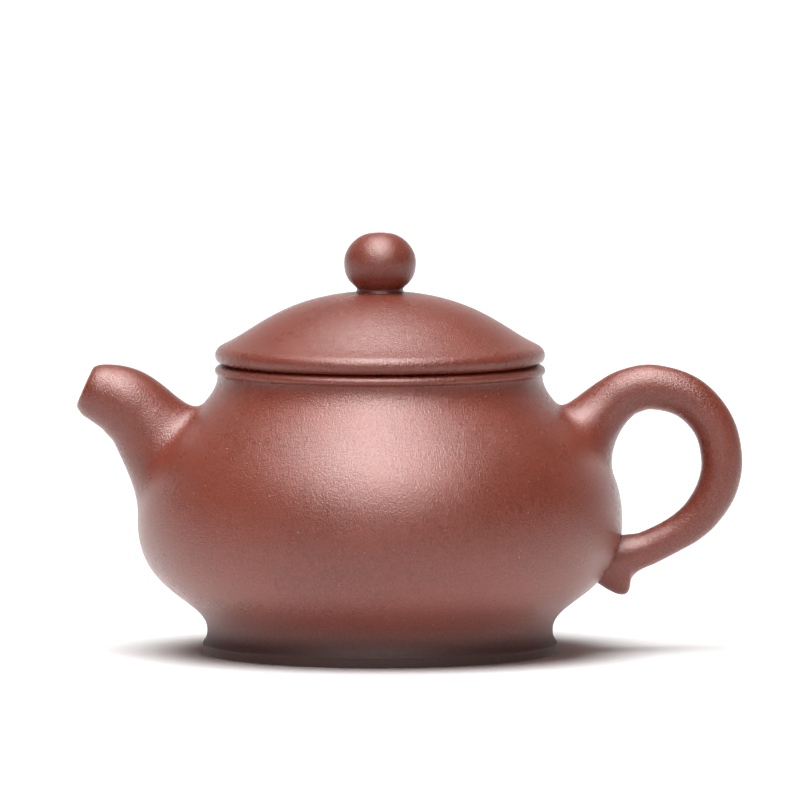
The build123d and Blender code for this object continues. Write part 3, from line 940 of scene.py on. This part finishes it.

# %% [markdown]
# ## One recipe, a few sorts of surface
#
# All pieces are the same clay, but the outside is burnished, the inside is only scraped, and the foot, which
# stood on a kiln shelf, is duller; its darker colour is painted shade. So one recipe builds the material and a
# few numbers set the surface.

# %% The clay recipe
CLAY_RED = (0.385, 0.091, 0.058)
CLAY_DEEP = (0.205, 0.043, 0.026)
PALE_SPECK = (0.62, 0.36, 0.27)
DARK_SPECK = (0.07, 0.025, 0.02)
WORN_EDGE = (0.33, 0.095, 0.066)
# Painted shade: the dark colour that the clay is given towards the foot.
PAINTED_FOOT_SHADE_COLOUR = (0.05, 0.017, 0.014)
CLOUD_SHARE = 0.3
SAND_SHARE = 0.7
WORN_STRENGTH = 0.5
PALE_STRENGTH = 0.75
DARK_STRENGTH = 0.8
PALE_SPECKS = {"Spacing": 2.1, "Share": 0.55, "Size": 0.15}
DARK_SPECKS = {"Spacing": 5.3, "Share": 0.3, "Size": 0.14}
# Painted shade towards the foot: its strength, and the heights where it is full and where it ends.
FOOT_SHADE = 0.9
FOOT_SHADE_BOTTOM = 1.0 * MM
FOOT_SHADE_TOP = 12.0 * MM
ROUGH_DRIFT = 0.05
FOOT_DULLNESS = 0.4
EDGE_POLISH = 0.06


def blend_colour(tree, share, under, over):
    """Mixes a colour over another by a mask socket. Each colour is a socket or a plain colour."""
    node = tree.nodes.new("ShaderNodeMix")
    node.data_type = "RGBA"
    tree.links.new(share, node.inputs["Factor"])
    for socket, colour in ((node.inputs[6], under), (node.inputs[7], over)):
        if isinstance(colour, tuple):
            socket.default_value = (*colour, 1.0)
        else:
            tree.links.new(colour, socket)
    return node.outputs[2]


def clay_material(name, gloss, grain_depth, lines_depth):
    """Unglazed clay: gloss is its roughness, and the depths in millimetres are for grain and tool lines."""
    material = bpy.data.materials.new(name)
    material.use_nodes = True
    tree = material.node_tree
    shader = tree.nodes["Principled BSDF"]
    used = {}
    for key, group in GROUPS.items():
        used[key] = tree.nodes.new("ShaderNodeGroup")
        used[key].node_tree = group
    dark_specks = tree.nodes.new("ShaderNodeGroup")
    dark_specks.node_tree = GROUPS["specks"]
    for specks, sizes in ((used["specks"], PALE_SPECKS), (dark_specks, DARK_SPECKS)):
        for label, value in sizes.items():
            specks.inputs[label].default_value = value

    shade = add_math(tree, "MULTIPLY", used["clouds"].outputs["Value"], CLOUD_SHARE)
    sand = add_math(tree, "MULTIPLY", used["grain"].outputs["Tint"], SAND_SHARE)
    colour = blend_colour(tree, add_math(tree, "ADD", shade, sand), CLAY_DEEP, CLAY_RED)
    worn = add_math(tree, "MULTIPLY", used["edges"].outputs["Mask"], WORN_STRENGTH)
    colour = blend_colour(tree, worn, colour, WORN_EDGE)
    pale = add_math(tree, "MULTIPLY", used["specks"].outputs["Mask"], PALE_STRENGTH)
    colour = blend_colour(tree, pale, colour, PALE_SPECK)
    dark = add_math(tree, "MULTIPLY", dark_specks.outputs["Mask"], DARK_STRENGTH)
    colour = blend_colour(tree, dark, colour, DARK_SPECK)
    place = tree.nodes.new("ShaderNodeTexCoord").outputs["Object"]
    height = tree.nodes.new("ShaderNodeSeparateXYZ")
    tree.links.new(place, height.inputs["Vector"])
    # Painted shade: the colour darkens towards the foot, where the belly shades it; the same mask also dulls
    # the gloss there.
    above_foot = ramp(tree, height.outputs["Z"], FOOT_SHADE_BOTTOM, FOOT_SHADE_TOP)
    foot_shade_and_dullness = add_math(tree, "SUBTRACT", 1.0, above_foot)
    colour = blend_colour(tree, add_math(tree, "MULTIPLY", foot_shade_and_dullness, FOOT_SHADE), colour, PAINTED_FOOT_SHADE_COLOUR)
    tree.links.new(colour, shader.inputs["Base Color"])

    rough = add_math(tree, "MULTIPLY", used["clouds"].outputs["Value"], ROUGH_DRIFT)
    rough = add_math(tree, "ADD", rough, gloss - ROUGH_DRIFT / 2)
    rough = add_math(tree, "ADD", rough, add_math(tree, "MULTIPLY", foot_shade_and_dullness, FOOT_DULLNESS))
    polish = add_math(tree, "MULTIPLY", used["edges"].outputs["Mask"], EDGE_POLISH)
    rough = add_math(tree, "SUBTRACT", rough, polish)
    tree.links.new(rough, shader.inputs["Roughness"])
    shader.inputs["Specular IOR Level"].default_value = 0.6
    shader.inputs["IOR"].default_value = 1.5

    bump = tree.nodes.new("ShaderNodeBump")
    bump.inputs["Strength"].default_value = 1.0
    bump.inputs["Distance"].default_value = grain_depth * MM
    grit = add_math(tree, "ADD", used["grain"].outputs["Height"], used["specks"].outputs["Mask"])
    tree.links.new(grit, bump.inputs["Height"])
    lines = tree.nodes.new("ShaderNodeBump")
    lines.inputs["Strength"].default_value = 1.0
    lines.inputs["Distance"].default_value = lines_depth * MM
    tree.links.new(used["burnish"].outputs["Height"], lines.inputs["Height"])
    tree.links.new(bump.outputs["Normal"], lines.inputs["Normal"])
    tree.links.new(lines.outputs["Normal"], shader.inputs["Normal"])
    return material


burnished_clay = clay_material("burnished clay", 0.28, 0.13, 0.003)
scraped_clay = clay_material("scraped clay", 0.62, 0.08, 0.02)
print("clay materials:", burnished_clay.name, "and", scraped_clay.name)

# %% Every piece gets its clay and its body, and the node it replaces is hidden
POT_PIECES = {
    "foot_ring": foot_ring,
    "base_disc": base_disc,
    "belly_wall": belly_wall,
    "shoulder_disc": shoulder_disc,
    "neck_ring": neck_ring,
    "rim_bead": rim_bead,
    "spout": spout,
    "handle": handle,
}
LID_PIECES = {"lid_disc": lid_disc, "lid_dome": lid_dome, "lid_flange": lid_flange, "knob": knob}
UNDERSIDE = {"base_disc", "lid_flange"}

for body, pieces in (("pot", POT_PIECES), ("lid", LID_PIECES)):
    for node, piece in pieces.items():
        piece.data.materials.clear()
        piece.data.materials.append(scraped_clay if node in UNDERSIDE else burnished_clay)
        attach(piece, body)
        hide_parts(node)

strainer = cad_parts["strainer"]
for slot in strainer.material_slots:
    slot.material = scraped_clay
print("pieces:", len(POT_PIECES) + len(LID_PIECES), "and the strainer's own node")

# %% [markdown]
# ## Floor, light and camera
#
# A white floor and a white backdrop, with a dark studio round them. Overhead hang a broad soft light for the
# body colour and a strip of narrower ones, which only the gloss sees. The rims of the pot mirror the
# backdrop, the underside mirrors the floor, the shoulder mirrors the strip, and everything else mirrors the
# dark room, which is what lets the satin gloss show. Far from the pot the floor sends back little light, so
# that the knob's underside and the waist stay dark.

# %% Floor, with a glow that the camera and the gloss see, so that the shadows stay light
FLOOR_WHITE = 0.82
GLOW_SEEN = 0.34
GLOW_MIRRORED = 0.62
GLOW_STOPS = 25 * MM
OPEN_FLOOR = (0.35, 0.95)
FLOOR_FAR = 0.1
FLOOR_NEAR_EDGE = 0.12
FLOOR_FAR_EDGE = 0.4
bpy.ops.object.select_all(action="DESELECT")
bpy.ops.mesh.primitive_plane_add(size=16, location=(0, 0, 0))
floor = bpy.context.object
floor.name = "floor"
floor_white = bpy.data.materials.new("white floor")
floor_white.use_nodes = True
floor_tree = floor_white.node_tree
floor_shader = floor_tree.nodes["Principled BSDF"]
floor_shader.inputs["Roughness"].default_value = 0.9
floor_shader.inputs["Specular IOR Level"].default_value = 0.0
floor_shader.inputs["Emission Color"].default_value = (1, 1, 1, 1)
floor_rays = floor_tree.nodes.new("ShaderNodeLightPath")
glow_seen = add_math(floor_tree, "MULTIPLY", floor_rays.outputs["Is Camera Ray"], GLOW_SEEN)
open_floor = floor_tree.nodes.new("ShaderNodeAmbientOcclusion")
open_floor.inputs["Distance"].default_value = GLOW_STOPS
openness = ramp(floor_tree, open_floor.outputs["AO"], *OPEN_FLOOR)
glow_seen = add_math(floor_tree, "MULTIPLY", glow_seen, openness)
glow_mirrored = add_math(floor_tree, "MULTIPLY", floor_rays.outputs["Is Glossy Ray"], GLOW_MIRRORED)
glow = add_math(floor_tree, "ADD", glow_seen, glow_mirrored)
floor_tree.links.new(glow, floor_shader.inputs["Emission Strength"])
floor_place = floor_tree.nodes.new("ShaderNodeTexCoord").outputs["Object"]
distance = floor_tree.nodes.new("ShaderNodeVectorMath")
distance.operation = "LENGTH"
floor_tree.links.new(floor_place, distance.inputs[0])
far_off = ramp(floor_tree, distance.outputs["Value"], FLOOR_NEAR_EDGE, FLOOR_FAR_EDGE)
unlit = add_math(floor_tree, "MULTIPLY", far_off, floor_rays.outputs["Is Diffuse Ray"])
floor_colour = blend_colour(floor_tree, unlit, (FLOOR_WHITE,) * 3, (FLOOR_FAR,) * 3)
floor_tree.links.new(floor_colour, floor_shader.inputs["Base Color"])
floor.data.materials.append(floor_white)

# %% The soft lights overhead
def overhead_light(name, spread, strength, lean_front, lean_left):
    """A soft light, far off: spread is how wide it looks from the pot, and the leans are from upright."""
    lamp = bpy.data.lights.new(name, "SUN")
    lamp.angle = math.radians(spread)
    lamp.energy = strength
    holder = bpy.data.objects.new(name, lamp)
    bpy.context.scene.collection.objects.link(holder)
    holder.rotation_euler = (math.radians(lean_front), math.radians(-lean_left), 0)
    holder.location = (0, 0, 1)
    return holder


overhead_light("broad light", spread=48, strength=3.1, lean_front=13, lean_left=6).visible_glossy = False

STRIP_SPREAD = 34
STRIP = ((-16, 1.1), (0, 2.0), (16, 2.1), (32, 2.1), (48, 1.7))
for lean, strength in STRIP:
    strip = overhead_light(f"strip light {lean}", STRIP_SPREAD, strength, lean_front=lean, lean_left=2.5)
    strip.visible_diffuse = False
print("lights: a broad one for the body colour, and a strip of", len(STRIP), "for the gloss")

# %% The room: what rays of each kind find beyond the floor
BACKDROP = 1.05
ROOM_DARK = 0.03
ROOM_FILL = 0.17
BACKDROP_RISE = (0.15, 0.55)
BACKDROP_WIDTH = (0.35, 0.95)

world = bpy.data.worlds.new("studio")
bpy.context.scene.world = world
world.use_nodes = True
tree = world.node_tree
tree.nodes.clear()
way = tree.nodes.new("ShaderNodeTexCoord").outputs["Generated"]
parts = tree.nodes.new("ShaderNodeSeparateXYZ")
tree.links.new(way, parts.inputs["Vector"])
low_down = add_math(tree, "SUBTRACT", 1.0, ramp(tree, parts.outputs["Z"], *BACKDROP_RISE))
behind = ramp(tree, parts.outputs["Y"], *BACKDROP_WIDTH)
mirrored = add_math(tree, "MULTIPLY", add_math(tree, "MULTIPLY", low_down, behind), BACKDROP - ROOM_DARK)
mirrored = add_math(tree, "ADD", mirrored, ROOM_DARK)
rays = tree.nodes.new("ShaderNodeLightPath")


def room_light(strength):
    """A plain white light of the room, of a given strength or strength socket."""
    node = tree.nodes.new("ShaderNodeBackground")
    node.inputs["Color"].default_value = (1, 1, 1, 1)
    if isinstance(strength, float):
        node.inputs["Strength"].default_value = strength
    else:
        tree.links.new(strength, node.inputs["Strength"])
    return node.outputs[0]


def choose_light(share, other, chosen):
    """The chosen light where share is 1, and the other elsewhere."""
    node = tree.nodes.new("ShaderNodeMixShader")
    for socket, value in zip(node.inputs, (share, other, chosen)):
        tree.links.new(value, socket)
    return node.outputs[0]


room = choose_light(rays.outputs["Is Glossy Ray"], room_light(ROOM_FILL), room_light(mirrored))
room = choose_light(rays.outputs["Is Camera Ray"], room, room_light(BACKDROP))
tree.links.new(room, tree.nodes.new("ShaderNodeOutputWorld").inputs["Surface"])
world.cycles.sampling_method = "NONE"

# %% Camera, level with the pot and far off, so that its lines stay nearly parallel
CAMERA_DISTANCE = 4.0
CAMERA_ELEVATION = math.radians(4.45)
AIM = Vector((4.07 * MM, 0, 51.6 * MM))
lens = bpy.data.cameras.new("camera")
lens.lens = 884
lens.sensor_width = 36
lens.clip_end = 50
lens.dof.use_dof = False
camera = bpy.data.objects.new("camera", lens)
bpy.context.scene.collection.objects.link(camera)
away = Vector((0, -math.cos(CAMERA_ELEVATION), math.sin(CAMERA_ELEVATION)))
camera.location = AIM + away * CAMERA_DISTANCE
camera.rotation_euler = away.to_track_quat("Z", "Y").to_euler()
bpy.context.scene.camera = camera
bpy.context.scene.view_settings.view_transform = "Standard"
print("camera, m:", [round(v, 3) for v in camera.location])
